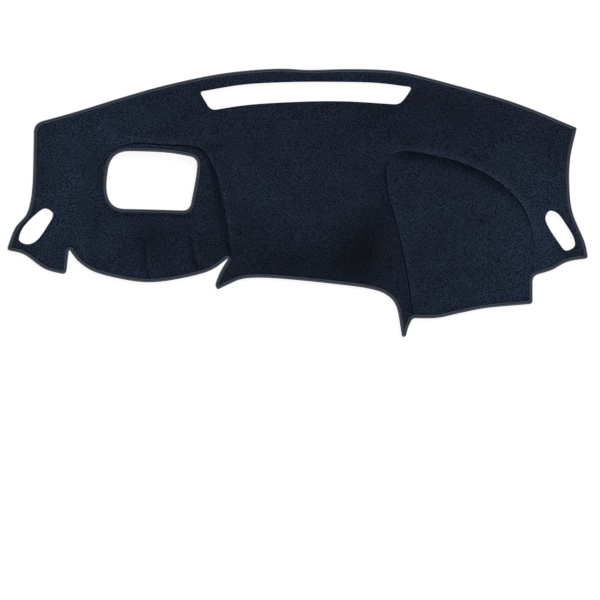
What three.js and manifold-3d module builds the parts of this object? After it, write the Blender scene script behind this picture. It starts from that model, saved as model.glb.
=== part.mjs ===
// Dashboard cover mat, laid out with its pile side up. Millimetres, +Z up.
// +X runs along the dashboard to the right-hand wing, +Y runs towards the windscreen.
// The origin is the middle of the mat's box, on the surface that the mat lies on.
import * as THREE from "three";
import { mergeVertices } from "three/addons/utils/BufferGeometryUtils.js";
import Module from "manifold-3d";

const wasm = await Module();
wasm.setup();

// The cloth: pile, foam and backing laminated into one sheet
const sheetThickness = 5;

// The binding: woven tape folded over a cut edge, which squeezes the sheet where it is sewn
const tapeThickness = 0.8;
const tapeReach = 9;
const tapeClearance = 0.3;
const tapeFoldRadius = 2.2;
const tapeFoldFacets = 2;

// The seams: each panel's edge is turned down, and the two stand back to back on the surface below
const seamGap = 0.3;
const allowanceThickness = 3.6;
const seamValleyWidth = 7;
const seamValleyDepth = 2.8;
const driverSeamInnerSpread = 27;
const passengerSeamInnerSpread = 30;

// The darts: a fold of the hood's front lip, sewn flat against itself below the sheet
const dartLift = 5;
const dartSpread = 24;
const dartValleyWidth = 5;
const dartValleyDepth = 2;

// The hood's window has a level rim, which slopes away to the sides and to the front lip
const windowLift = 6;
const windowRimWidth = 11;
const windowRimBlend = 5;
const windowSideSlope = 34;
const windowFrontSlope = 135;

// The mat lies flat along its outer edge, and its relief starts further in
const flatBorder = 13;
const reliefRamp = 26;

// How finely the curves and the relief are faceted
const curveStep = 6;
const outlineSag = 0.6;
const cornerFacets = 4;
const seamStep = 26;
const reliefCells = 128;
const reliefMiss = 1.2;

// The outer edge, anticlockwise from the top left corner. Each stretch is a smooth curve from the last
// corner through its points. Its last point is a corner, eased over the length named with it.
const outerEdge = [
  // left side, down to the tip of the left wing
  { through: [[-637, 126], [-640, 35], [-646, -5], [-655, -30], [-681, -61], [-702, -115]], ease: 9 },
  // foot of the left wing
  { through: [[-662, -125], [-609, -161], [-558, -175]], ease: 12 },
  // up into the left notch
  { through: [[-551, -114]], ease: 5 },
  // front lip of the hood, to the right notch
  {
    through: [
      [-529, -142], [-496, -165], [-439, -182], [-361, -193], [-283, -184], [-207, -163], [-167, -135],
    ],
    ease: 4,
  },
  // small tongue beside the hood
  { through: [[-186, -167], [-199, -199]], ease: 6 },
  { through: [[-193, -211]], ease: 5 },
  // front edge of the middle, to the long tongue
  {
    through: [
      [-166, -198], [-137, -186], [-89, -182], [97, -198], [180, -210], [213, -222], [236, -245], [253, -325],
    ],
    ease: 3.5,
  },
  { through: [[262, -324]], ease: 3.5 },
  { through: [[268, -302], [278, -280]], ease: 7 },
  // front edge of the passenger side
  { through: [[337, -279], [394, -267], [450, -256], [568, -245]], ease: 8 },
  { through: [[568, -177]], ease: 15 },
  // foot of the right wing
  { through: [[594, -170], [615, -163], [651, -144], [702, -135]], ease: 7 },
  // right side, up to the top right corner
  { through: [[695, -100], [664, -22], [657, 36], [659, 106], [675, 180]], ease: 4 },
  // rear edge along the windscreen
  {
    through: [
      [557, 229], [494, 251], [379, 284], [254, 315], [206, 320], [126, 322], [26, 320], [-43, 323],
      [-176, 312], [-318, 283], [-415, 256], [-545, 216], [-636, 191],
    ],
    ease: 22,
  },
];

// The hood's window, anticlockwise from its top left corner
const windowEdge = [
  { through: [[-460, 36], [-451, -15]], ease: 34 },
  { through: [[-356, -17], [-260, -20]], ease: 18 },
  { through: [[-244, 65], [-240, 107]], ease: 20 },
  { through: [[-309, 119], [-389, 123], [-450, 123]], ease: 44 },
];

// The long defroster slot below the rear edge, anticlockwise from its top left corner
const defrosterSlot = [
  { through: [[-209, 222]], ease: 14 },
  { through: [[-123, 235], [7, 243], [114, 244], [247, 236]], ease: 14 },
  { through: [[265, 259], [277, 278]], ease: 8 },
  { through: [[194, 288], [79, 291], [-28, 290], [-132, 284], [-236, 267]], ease: 9 },
];

// The slots over the side vents, each one closed smooth curve
const leftVentSlot = [
  [-609, -15], [-634, -31], [-665, -66], [-671, -92], [-652, -101], [-632, -94], [-606, -61], [-590, -27],
];
const rightVentSlot = [
  [608, -21], [599, -39], [631, -97], [648, -116], [669, -106], [668, -88], [649, -54], [626, -25],
];

// The seams as [x, y, lift, outer spread]: lift is how far the turned-down edges raise the sheet there,
// and outer spread how far out the main panel slopes away. Their ends run out past the mat's edge.
const driverSeam = [
  [-546, -150, 3, 24],
  [-551, -113, 3, 24],
  [-528, -26, 3, 24],
  [-493, 54, 3, 24],
  [-462, 113, 3.5, 20],
  [-404, 139, 5, 18],
  [-322, 137, 6, 18],
  [-254, 133, 6, 18],
  [-230, 124, 7, 18],
  [-201, 77, 9, 24],
  [-184, 13, 9, 24],
  [-170, -67, 9, 24],
  [-166, -132, 9, 24],
  [-189, -160, 9, 24],
];
const passengerSeam = [
  [285, -302, 7, 80],
  [278, -278, 7, 80],
  [265, -183, 7, 80],
  [240, -65, 8, 80],
  [217, 24, 8, 60],
  [212, 74, 8, 34],
  [219, 99, 8.5, 24],
  [236, 116, 9, 22],
  [261, 121, 9, 22],
  [345, 107, 9, 24],
  [423, 82, 9, 24],
  [488, 44, 8, 24],
  [541, -10, 6, 24],
  [567, -82, 3, 24],
  [569, -171, 2, 24],
  [577, -190, 2, 24],
];

// The darts, from the point in the hood to past the front lip
const leftDart = [[-376, -62], [-366, -115], [-360, -198]];
const rightDart = [[-268, -32], [-256, -86], [-238, -182]];

// Finishes
const plushNavy = { color: 0x1b222f, roughness: 1, metalness: 0 };
const wovenTape = { color: 0x2b3040, roughness: 0.85, metalness: 0 };

const toPoint = ([x, y]) => new THREE.Vector2(x, y);

// The distance from p to the segment from a to b, and the share of the way along it to the nearest point
function fromSegment(p, a, b) {
  const dx = b.x - a.x;
  const dy = b.y - a.y;
  const along = ((p.x - a.x) * dx + (p.y - a.y) * dy) / (dx * dx + dy * dy || 1);
  const share = THREE.MathUtils.clamp(along, 0, 1);
  const offX = p.x - a.x - share * dx;
  const offY = p.y - a.y - share * dy;
  return { distance: Math.hypot(offX, offY), share, offX, offY };
}

// Points a step apart on the smooth curve through knots, open or closed
function smoothLine(knots, closed = false) {
  const curve = new THREE.CatmullRomCurve3(knots.map(([x, y]) => new THREE.Vector3(x, y, 0)), closed);
  const count = Math.max(2, Math.ceil(curve.getLength() / curveStep));
  const points = Array.from({ length: count + 1 }, (_, i) => curve.getPoint(i / count));
  if (closed) points.pop();
  return points.map((p) => new THREE.Vector2(p.x, p.y));
}

// An open line with fewer points, from which no dropped point is further than the sag
function thinned(points) {
  const first = points[0];
  const last = points[points.length - 1];
  const away = points.map((p) => fromSegment(p, first, last).distance);
  const furthest = Math.max(...away);
  if (furthest <= outlineSag) return [first, last];
  const at = away.indexOf(furthest);
  return [...thinned(points.slice(0, at + 1)).slice(0, -1), ...thinned(points.slice(at))];
}

// A line without its last stretch, so that it stops the given distance short of its end
function shortened(points, distance) {
  const end = points[points.length - 1];
  const kept = [...points];
  while (kept.length > 2 && kept[kept.length - 2].distanceTo(end) < distance) kept.pop();
  const last = kept.pop();
  const before = kept[kept.length - 1];
  const far = before.distanceTo(end);
  const near = last.distanceTo(end);
  return [...kept, before.clone().lerp(last, (far - distance) / (far - near))];
}

// A closed outline from its stretches, each corner eased by a short curve
function easedOutline(stretches) {
  const corners = stretches.map((stretch) => stretch.through[stretch.through.length - 1]);
  const lines = stretches.map((stretch, i) => {
    const before = (i + stretches.length - 1) % stretches.length;
    const line = thinned(smoothLine([corners[before], ...stretch.through]));
    const started = shortened([...line].reverse(), stretches[before].ease).reverse();
    return shortened(started, stretch.ease);
  });
  return lines.flatMap((line, i) => {
    const from = line[line.length - 1];
    const to = lines[(i + 1) % lines.length][0];
    const bend = new THREE.QuadraticBezierCurve(from, toPoint(corners[i]), to);
    return [...line, ...bend.getPoints(cornerFacets).slice(1, -1)];
  });
}

// A closed smooth loop with few points
function slotOutline(knots) {
  const loop = smoothLine(knots, true);
  const half = Math.floor(loop.length / 2);
  const there = thinned(loop.slice(0, half + 1));
  const back = thinned([...loop.slice(half), loop[0]]);
  return [...there.slice(0, -1), ...back.slice(0, -1)];
}

// Where the segments a-b and c-d cross, or null
function crossing(a, b, c, d) {
  const cross = (b.x - a.x) * (d.y - c.y) - (b.y - a.y) * (d.x - c.x);
  const s = ((c.x - a.x) * (d.y - c.y) - (c.y - a.y) * (d.x - c.x)) / cross;
  const t = ((c.x - a.x) * (b.y - a.y) - (c.y - a.y) * (b.x - a.x)) / cross;
  return s > 0 && s < 1 && t > 0 && t < 1 ? a.clone().lerp(b, s) : null;
}

// An outline without the small loops that turn the wrong way
function untangled(points) {
  for (let i = 0; i < points.length; i += 1) {
    const reach = Math.min(i + Math.floor(points.length / 3), points.length - 1);
    for (let j = reach; j > i + 1; j -= 1) {
      const next = points[(j + 1) % points.length];
      const meet = j + 1 < points.length + (i > 0) && crossing(points[i], points[i + 1], points[j], next);
      if (meet && THREE.ShapeUtils.area([meet, ...points.slice(i + 1, j + 1)]) < 0) {
        return untangled([...points.slice(0, i + 1), meet, ...points.slice(j + 1)]);
      }
    }
  }
  return points;
}

// The closed anticlockwise outline moved in by a distance, or out where that is negative
function inset(points, distance) {
  const count = points.length;
  const moved = points.map((p, i) => {
    const before = points[(i + count - 1) % count];
    const after = points[(i + 1) % count];
    const a = p.clone().sub(before).normalize();
    const b = after.clone().sub(p).normalize();
    const inward = new THREE.Vector2(-a.y - b.y, a.x + b.x);
    return p.clone().addScaledVector(inward, (2 * distance) / inward.lengthSq());
  });
  return untangled(moved);
}

const outline = easedOutline(outerEdge);
const windowOutline = easedOutline(windowEdge);
const defrosterOutline = easedOutline(defrosterSlot);
const ventOutlines = [slotOutline(leftVentSlot), slotOutline(rightVentSlot)];

// A seam's points, each with its lift and its outer spread
function seamLine(knots) {
  const place = new THREE.CatmullRomCurve3(knots.map(([x, y]) => new THREE.Vector3(x, y, 0)));
  const form = new THREE.CatmullRomCurve3(
    knots.map(([, , lift, spread]) => new THREE.Vector3(lift, spread, 0)),
  );
  form.curveType = "catmullrom";
  const count = Math.ceil(place.getLength() / seamStep);
  return Array.from({ length: count + 1 }, (_, i) => {
    const p = place.getPoint(i / count);
    const f = form.getPoint(i / count);
    return Object.assign(new THREE.Vector2(p.x, p.y), { lift: f.x, spread: f.y });
  });
}

// A dart's points, which gain their lift from the point to the lip
function dartLine(knots) {
  const tip = knots[0];
  const end = knots[knots.length - 1];
  const length = Math.hypot(end[0] - tip[0], end[1] - tip[1]);
  return seamLine(
    knots.map(([x, y]) => {
      const share = Math.hypot(x - tip[0], y - tip[1]) / length;
      return [x, y, dartLift * Math.min(1, 2 * share), dartSpread];
    }),
  );
}

const driverLine = seamLine(driverSeam);
const passengerLine = seamLine(passengerSeam);
const dartLines = [dartLine(leftDart), dartLine(rightDart)];

// A round-topped ridge's height at a distance from its crest
const ridge = (lift, distance, spread) =>
  (lift / 2) * (1 + Math.cos(Math.PI * Math.min(1, distance / spread)));

// The height that a seam or dart gives the sheet's underside at p. Both seams run clockwise round
// their panel, so the main panel is on the left of the line.
function seamHeight(p, line, innerSpread) {
  let nearest = { distance: Infinity };
  for (let i = 1; i < line.length; i += 1) {
    const found = fromSegment(p, line[i - 1], line[i]);
    if (found.distance < nearest.distance) nearest = { ...found, a: line[i - 1], b: line[i] };
  }
  const { a, b, share, offX, offY, distance } = nearest;
  const outside = (b.x - a.x) * offY - (b.y - a.y) * offX > 0;
  const lift = THREE.MathUtils.lerp(a.lift, b.lift, share);
  const spread = outside ? THREE.MathUtils.lerp(a.spread, b.spread, share) : innerSpread;
  return ridge(lift, distance, spread);
}

// The nearest point of a closed outline, as its distance and the way to it
function fromOutline(p, loop) {
  let nearest = { distance: Infinity };
  loop.forEach((a, i) => {
    const found = fromSegment(p, a, loop[(i + 1) % loop.length]);
    if (found.distance < nearest.distance) nearest = found;
  });
  return nearest;
}

// Whether a point is inside a closed outline
function isInside(p, loop) {
  const crossed = loop.filter((a, i) => {
    const b = loop[(i + 1) % loop.length];
    return a.y > p.y !== b.y > p.y && p.x < a.x + ((b.x - a.x) * (p.y - a.y)) / (b.y - a.y);
  });
  return crossed.length % 2 === 1;
}

// The larger of two heights, without a crease where they cross
const blendedMax = (a, b, blend = 1.2) => (a + b + Math.hypot(a - b, blend) - blend) / 2;

// The height of the sheet's underside above the surface that the mat lies on
function reliefAt(x, y) {
  const p = new THREE.Vector2(x, y);
  const edge = fromOutline(p, outline).distance;
  if (edge < flatBorder || !isInside(p, outline)) return 0;
  const opening = fromOutline(p, windowOutline);
  const frontward = Math.max(0, -opening.offY / (opening.distance || 1));
  const slope = THREE.MathUtils.lerp(windowSideSlope, windowFrontSlope, frontward);
  const hood = ridge(windowLift, Math.max(0, opening.distance - windowRimWidth), slope);
  const heights = [
    seamHeight(p, driverLine, driverSeamInnerSpread),
    seamHeight(p, passengerLine, passengerSeamInnerSpread),
    ...dartLines.map((line) => seamHeight(p, line, dartSpread)),
  ];
  const raised = heights.reduce((a, b) => blendedMax(a, b), hood);
  const blendEnd = windowRimWidth + windowRimBlend;
  const levelled = 1 - THREE.MathUtils.smoothstep(opening.distance, windowRimWidth, blendEnd);
  const ramp = THREE.MathUtils.smoothstep(edge, flatBorder, flatBorder + reliefRamp);
  return ramp * THREE.MathUtils.lerp(raised, windowLift, levelled);
}

// Heights that cutting solids reach: over the sheet by a little, and past everything
const aboveSheet = sheetThickness + 1;
const highestLift = Math.max(...[...driverLine, ...passengerLine].map((p) => p.lift));
const topmost = 3 * sheetThickness + highestLift;
const below = -sheetThickness;

// A solid from a closed three.js geometry
function solidOf(geometry) {
  const bare = geometry.clone();
  bare.deleteAttribute("normal");
  bare.deleteAttribute("uv");
  const merged = mergeVertices(bare, 1e-4);
  const mesh = new wasm.Mesh({
    numProp: 3,
    vertProperties: merged.attributes.position.array,
    triVerts: new Uint32Array(merged.index.array),
  });
  return new wasm.Manifold(mesh);
}

// A solid from its vertices and its faces, which have three or four corners each
function facetedSolid(vertices, faces) {
  const triangles = faces.flatMap(([a, b, c, d]) => (d === undefined ? [a, b, c] : [a, b, c, a, c, d]));
  const geometry = new THREE.BufferGeometry();
  geometry.setAttribute("position", new THREE.Float32BufferAttribute(vertices.flat(), 3));
  geometry.setIndex(triangles);
  return solidOf(geometry);
}

// An upright prism over an outline, from one height to another
function prism(loop, low, high) {
  const depth = high - low;
  const geometry = new THREE.ExtrudeGeometry(new THREE.Shape(loop), { depth, bevelEnabled: false });
  return solidOf(geometry.translate(0, 0, low));
}

// The plate between two outlines, with its outer or inner rim rounded over
function roundedPlate(loop, hole, low, thickness) {
  const shape = new THREE.Shape(loop);
  if (hole) shape.holes.push(new THREE.Path(hole));
  const geometry = new THREE.ExtrudeGeometry(shape, {
    depth: thickness - 2 * tapeFoldRadius,
    bevelThickness: tapeFoldRadius,
    bevelSize: tapeFoldRadius,
    bevelOffset: -tapeFoldRadius,
    bevelSegments: tapeFoldFacets,
  });
  return solidOf(geometry.translate(0, 0, low + tapeFoldRadius));
}

// The cells of a square grid, parted into right triangles that are small only where the relief bends.
// Each triangle has its long side from a to b, and it is halved at the middle of that side.
const halved = ([a, b, c]) => {
  const m = [(a[0] + b[0]) / 2, (a[1] + b[1]) / 2];
  return { m, parts: [[c, a, m], [b, c, m]] };
};

// The full-thickness sheet following the relief, over the whole of the mat's box
function reliefSheet() {
  const box = new THREE.Box2().setFromPoints(outline).expandByScalar(sheetThickness);
  const span = box.getSize(new THREE.Vector2());
  const stride = reliefCells + 1;
  const placeOf = ([i, j]) => [box.min.x + (span.x * i) / reliefCells, box.min.y + (span.y * j) / reliefCells];
  const heights = Array.from({ length: stride * stride }, (_, k) =>
    reliefAt(...placeOf([k % stride, Math.floor(k / stride)])),
  );
  const indexOf = ([i, j]) => j * stride + i;
  const [low, high] = [0, reliefCells];
  const whole = [[[high, high], [low, low], [high, low]], [[low, low], [high, high], [low, high]]];

  // How far the relief leaves each long side, the parts' own misses included, worked out from the
  // smallest triangles up
  const levels = [whole];
  for (let level = 0; 2 ** level < reliefCells ** 2; level += 1) {
    levels.push(levels[level].flatMap((triangle) => halved(triangle).parts));
  }
  levels.pop();
  const misses = new Float64Array(heights.length);
  [...levels].reverse().forEach((triangles, depth) => {
    triangles.forEach((triangle) => {
      const { m, parts } = halved(triangle);
      const [a, b] = triangle;
      const own = Math.abs((heights[indexOf(a)] + heights[indexOf(b)]) / 2 - heights[indexOf(m)]);
      const inner = depth === 0 ? [] : parts.map((part) => misses[indexOf(halved(part).m)]);
      misses[indexOf(m)] = Math.max(misses[indexOf(m)], own, ...inner);
    });
  });

  const used = new Map();
  const vertices = [];
  const vertexAt = (corner) => {
    const key = indexOf(corner);
    if (!used.has(key)) {
      used.set(key, vertices.length);
      vertices.push([...placeOf(corner), heights[key]]);
    }
    return used.get(key);
  };
  const surface = [];
  const part = (triangle, level) => {
    const { m, parts } = halved(triangle);
    if (level < levels.length && misses[indexOf(m)] > reliefMiss) {
      parts.forEach((half) => part(half, level + 1));
    } else {
      surface.push(triangle.map(vertexAt));
    }
  };
  whole.forEach((triangle) => part(triangle, 0));

  // The upper side, the underside and the cut edge round the box
  const layer = vertices.length;
  const upper = vertices.map(([x, y, z]) => [x, y, z + sheetThickness]);
  const sides = surface.flatMap(([a, b, c]) => [[a, b], [b, c], [c, a]]);
  const known = new Set(sides.map(String));
  const rim = sides.filter(([a, b]) => !known.has(String([b, a])));
  const faces = [
    ...surface.map(([a, b, c]) => [c, b, a]),
    ...surface.map((triangle) => triangle.map((corner) => corner + layer)),
    ...rim.map(([a, b]) => [a, b, b + layer, a + layer]),
  ];
  return facetedSolid([...vertices, ...upper], faces);
}

// A bar swept along a line. The section gives its corners at a point, from the lower right round to the
// upper right by way of the left. The caps are the faces that close its ends.
function sweptBar(line, section, caps) {
  const rings = line.map((p, i) => {
    const before = line[Math.max(0, i - 1)];
    const after = line[Math.min(line.length - 1, i + 1)];
    const along = after.clone().sub(before).normalize();
    return section((left) => [p.x - along.y * left, p.y + along.x * left]);
  });
  const sides = rings[0].length;
  const faces = [];
  for (let i = 0; i + 1 < rings.length; i += 1) {
    for (let k = 0; k < sides; k += 1) {
      const next = (k + 1) % sides;
      faces.push([i * sides + k, i * sides + next, (i + 1) * sides + next, (i + 1) * sides + k]);
    }
  }
  const last = (rings.length - 1) * sides;
  caps.forEach((cap) => faces.push([...cap].reverse(), cap.map((k) => last + k)));
  return facetedSolid(rings.flat(), faces);
}

// The allowances under a seam or a dart, back to back: the sheet's edges turned down from the raised
// sheet to the surface below
function turnedDown(line, halfWidth) {
  const bite = sheetThickness / 2;
  const clearOfEdge = (p) => isInside(p, outline) && fromOutline(p, outline).distance > flatBorder + bite;
  const section = (place) => {
    const [right, left] = [place(-halfWidth), place(halfWidth)];
    return [
      [...right, 0],
      [...left, 0],
      [...left, reliefAt(...left) + bite],
      [...right, reliefAt(...right) + bite],
    ];
  };
  return sweptBar(line.filter(clearOfEdge), section, [[0, 1, 2, 3]]);
}

// The crease that a dart's stitches pull into the pile side
function dartValley(line) {
  const section = (place) => {
    const middle = place(0);
    const level = reliefAt(...middle);
    return [
      [...middle, level + sheetThickness - dartValleyDepth],
      [...place(dartValleyWidth / 2), level + aboveSheet],
      [...place(-dartValleyWidth / 2), level + aboveSheet],
    ];
  };
  return sweptBar(line, section, [[0, 1, 2]]);
}

// What parts two panels: the gap between their turned-down edges, and the crease above it
function seamCut(line) {
  const section = (place) => {
    const level = reliefAt(...place(0));
    const bottom = level + sheetThickness - seamValleyDepth;
    return [
      [...place(-seamGap / 2), below],
      [...place(seamGap / 2), below],
      [...place(seamGap / 2), bottom],
      [...place(seamValleyWidth / 2), level + aboveSheet],
      [...place(-seamValleyWidth / 2), level + aboveSheet],
      [...place(-seamGap / 2), bottom],
    ];
  };
  return sweptBar(line, section, [[0, 1, 2, 5], [2, 3, 4, 5]]);
}

const edgeLow = tapeThickness + tapeClearance;
const edgeHigh = sheetThickness - edgeLow;
const clearOfTape = tapeReach + tapeClearance;
// The whole sheet before it is parted into panels
const thickArea = prism(inset(outline, clearOfTape), below, topmost).subtract(
  prism(inset(windowOutline, -clearOfTape), below, topmost),
);
const allowances = [
  ...[driverLine, passengerLine].map((line) => turnedDown(line, allowanceThickness + seamGap / 2)),
  ...dartLines.map((line) => turnedDown(line, allowanceThickness)),
];
const squeezedEdge = prism(inset(outline, edgeLow), edgeLow, edgeHigh).subtract(
  prism(inset(outline, flatBorder), below, topmost),
);
const squeezedWindowEdge = prism(
  inset(windowOutline, -windowRimWidth),
  windowLift + edgeLow,
  windowLift + edgeHigh,
).subtract(prism(inset(windowOutline, -edgeLow), below, topmost));
const raisedSheet = allowances.reduce((whole, bar) => whole.add(bar), reliefSheet());
const wholeSheet = raisedSheet.intersect(thickArea).add(squeezedEdge).add(squeezedWindowEdge);

// The sheet with its creases and slots, parted along its two seams
const cuts = [
  ...dartLines.map(dartValley),
  ...[defrosterOutline, ...ventOutlines].map((loop) => prism(loop, below, topmost)),
  ...[driverLine, passengerLine].map(seamCut),
];
const parted = cuts.reduce((whole, cut) => whole.subtract(cut), wholeSheet);
const [mainPanel, ...offcuts] = parted.decompose().sort((a, b) => b.volume() - a.volume());
const leftmost = (solid) => solid.boundingBox().min[0];
const [driverPanel, passengerPanel] = offcuts.slice(0, 2).sort((a, b) => leftmost(a) - leftmost(b));

// The bindings, each a closed loop of folded tape
const edgeBinding = roundedPlate(outline, null, 0, sheetThickness)
  .subtract(prism(inset(outline, tapeReach), below, topmost))
  .subtract(prism(inset(outline, tapeThickness), tapeThickness, sheetThickness - tapeThickness));

const windowBinding = roundedPlate(
  inset(windowOutline, -2 * tapeReach),
  windowOutline,
  windowLift,
  sheetThickness,
)
  .intersect(prism(inset(windowOutline, -tapeReach), below, topmost))
  .subtract(
    prism(
      inset(windowOutline, -2 * tapeReach),
      windowLift + tapeThickness,
      windowLift + sheetThickness - tapeThickness,
    ).subtract(prism(inset(windowOutline, -tapeThickness), below, topmost)),
  );

function meshOf(name, solid, finish) {
  const made = solid.getMesh();
  const geometry = new THREE.BufferGeometry();
  geometry.setAttribute("position", new THREE.BufferAttribute(made.vertProperties, 3));
  geometry.setIndex(new THREE.BufferAttribute(made.triVerts, 1));
  geometry.computeVertexNormals();
  const mesh = new THREE.Mesh(geometry, new THREE.MeshStandardMaterial(finish));
  mesh.name = name;
  return mesh;
}

const group = new THREE.Group();
group.add(
  meshOf("main_panel", mainPanel, plushNavy),
  meshOf("driver_panel", driverPanel, plushNavy),
  meshOf("passenger_panel", passengerPanel, plushNavy),
  meshOf("outer_edge_binding", edgeBinding, wovenTape),
  meshOf("window_edge_binding", windowBinding, wovenTape),
);
const middle = new THREE.Box2().setFromPoints(outline).getCenter(new THREE.Vector2());
group.position.set(-middle.x, -middle.y, 0);

export default group;
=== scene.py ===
import math

import bpy
import numpy as np
from mathutils.geometry import delaunay_2d_cdt
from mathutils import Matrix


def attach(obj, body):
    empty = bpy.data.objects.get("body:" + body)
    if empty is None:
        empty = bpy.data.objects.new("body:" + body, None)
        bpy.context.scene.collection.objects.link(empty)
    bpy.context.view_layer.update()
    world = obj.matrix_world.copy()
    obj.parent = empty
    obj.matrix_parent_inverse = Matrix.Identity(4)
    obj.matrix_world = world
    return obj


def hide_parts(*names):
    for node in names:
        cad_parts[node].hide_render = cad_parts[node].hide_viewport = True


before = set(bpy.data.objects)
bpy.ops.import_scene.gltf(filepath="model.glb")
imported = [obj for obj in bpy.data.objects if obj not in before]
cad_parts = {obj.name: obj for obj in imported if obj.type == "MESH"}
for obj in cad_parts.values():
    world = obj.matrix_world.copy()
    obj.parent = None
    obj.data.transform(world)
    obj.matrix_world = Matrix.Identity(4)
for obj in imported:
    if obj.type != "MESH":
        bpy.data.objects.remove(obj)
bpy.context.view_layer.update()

# The three cloth panels: the main panel for the dashboard's top, the driver's panel over the instrument
# hood and the passenger's panel. Each is cut from one roll, a navy cut pile bonded to foam and a backing,
# 5 mm thick. Their edges are sewn face to face, so both turn down at a seam and stand back to back.
# Lengths are in millimetres, and the meshes are made in metres.
MM = 0.001
CLOTH = 5.0

# At a hem: the heights of the squeezed cloth's two sides, how far in the tape reaches, where its stitches
# lie, how deep they pull it in, and over what widths the pile and the backing come free beside the tape
UNDER_TAPE = (1.1, 3.4)
TAPE_REACH = 8.3
STITCH_LINE = 4.1
GROOVE = 0.75
TAPE_ROOM = 0.15
FREED_OVER = 3.4
LET_DOWN_OVER = 1.5

# At a seam: the gap between the panels, the side from which the nap leans over the crease, the crease's
# width on that side and on the other, how deep it is where the cloth is raised and where it lies flat,
# and how far in the turned-down edges reach
SEAM_GAP = 0.1
LEAN = (0.53, 0.85)
CREASE_WIDTH = 2.7
CREASE_STEEP = 0.5
CREASE_SHAPE = 1.3
SEAM_DROP = 4.4
FLAT_DROP = 2.6
DROP_BY_HEIGHT = 0.6
DEEP_FROM = 6.5
SHALLOWEST = 0.2
ALLOWANCE = 3.6
ALLOWANCE_BLEND = 0.6

# How far the two panels slope in from their seams, and what shape every slope from a seam has
DRIVER_SPREAD = 27.0
PASSENGER_SPREAD = 30.0
CREST_SHAPE = 1.7

# The darts: how high they stand, how wide they are, and how soon they reach their full depth
DART_LIFT = 5.0
DART_SPREAD = 14.0
DART_WIDTH = 2.3
DART_DROP = 2.5
DART_DEEPENS = 3

# The window's raised rim and the slopes beside and in front of it
WINDOW_LIFT = 6.0
WINDOW_RIM = 11.0
WINDOW_RIM_BLEND = 5.0
WINDOW_SIDE_SLOPE = 34.0
WINDOW_FRONT_SLOPE = 135.0

# The mat lies flat along its border. At the plain cut slots the pile rounds down.
FLAT_BORDER = 13.0
RELIEF_RAMP = 26.0
CUT_ROLL = 2.2
CUT_DROP = 1.5

# How unevenly the tufts stand, the pile's soft swells and their wavelengths
TUFT_UNEVEN = 0.24
PILE_UNEVEN = 0.3
SWELLS = (230, 160, 120, 90, 70, 52, 40)

# The net: the spacing of its points along edges and in the open pile, its rows beside each kind of edge,
# and how clear of those the open pile's points stay
EDGE_STEP = 4.5
PILE_STEP = 4.4
HEM_ROWS = (3.2, 4.1, 5.0, 7.6, 8.5, 9.1, 9.9, 11.0, 12.6)
CUT_ROWS = (0.5, 1.2, 2.2, 3.6)
SEAM_ROWS = (0.5, 1.1, 1.9, 3.0, 4.5, 6.5)
DART_ROWS = (0.5, 1.1, 1.9, 3.2, 4.6)
HEM_REACH = 14
ROW_ROOM = 0.6
HEM_CLEAR = 15
CUT_CLEAR = 5.5
SEAM_CLEAR = 8.5
DART_CLEAR = 6

# The outer edge, anticlockwise from the top left corner. Each stretch is a smooth curve through its
# points to a corner, which is eased over the length given last.
OUTER_EDGE = [
    ([(-637, 126), (-640, 35), (-646, -5), (-655, -30), (-681, -61), (-702, -115)], 9),
    ([(-662, -125), (-609, -161), (-558, -175)], 12),
    ([(-551, -114)], 5),
    ([(-529, -142), (-496, -165), (-439, -182), (-361, -193), (-283, -184), (-207, -163),
      (-167, -135)], 4),
    ([(-186, -167), (-199, -199)], 6),
    ([(-193, -211)], 5),
    ([(-166, -198), (-137, -186), (-89, -182), (97, -198), (180, -210), (213, -222), (236, -245),
      (253, -325)], 3.5),
    ([(262, -324)], 3.5),
    ([(268, -302), (278, -280)], 7),
    ([(337, -279), (394, -267), (450, -256), (568, -245)], 8),
    ([(568, -177)], 15),
    ([(594, -170), (615, -163), (651, -144), (702, -135)], 7),
    ([(695, -100), (664, -22), (657, 36), (659, 106), (675, 180)], 4),
    ([(557, 229), (494, 251), (379, 284), (254, 315), (206, 320), (126, 322), (26, 320), (-43, 323),
      (-176, 312), (-318, 283), (-415, 256), (-545, 216), (-636, 191)], 22),
]

# The openings: the window, made like the outer edge, then the three slots, which are plain cut
WINDOW_EDGE = [
    ([(-460, 36), (-451, -15)], 34),
    ([(-356, -17), (-260, -20)], 18),
    ([(-244, 65), (-240, 107)], 20),
    ([(-309, 119), (-389, 123), (-450, 123)], 44),
]
DEFROSTER_SLOT = [
    ([(-209, 222)], 14),
    ([(-123, 235), (7, 243), (114, 244), (247, 236)], 14),
    ([(265, 259), (277, 278)], 8),
    ([(194, 288), (79, 291), (-28, 290), (-132, 284), (-236, 267)], 9),
]
LEFT_VENT = [(-609, -15), (-634, -31), (-665, -66), (-671, -92), (-652, -101), (-632, -94),
             (-606, -61), (-590, -27)]
RIGHT_VENT = [(608, -21), (599, -39), (631, -97), (648, -116), (669, -106), (668, -88), (649, -54),
              (626, -25)]

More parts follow.
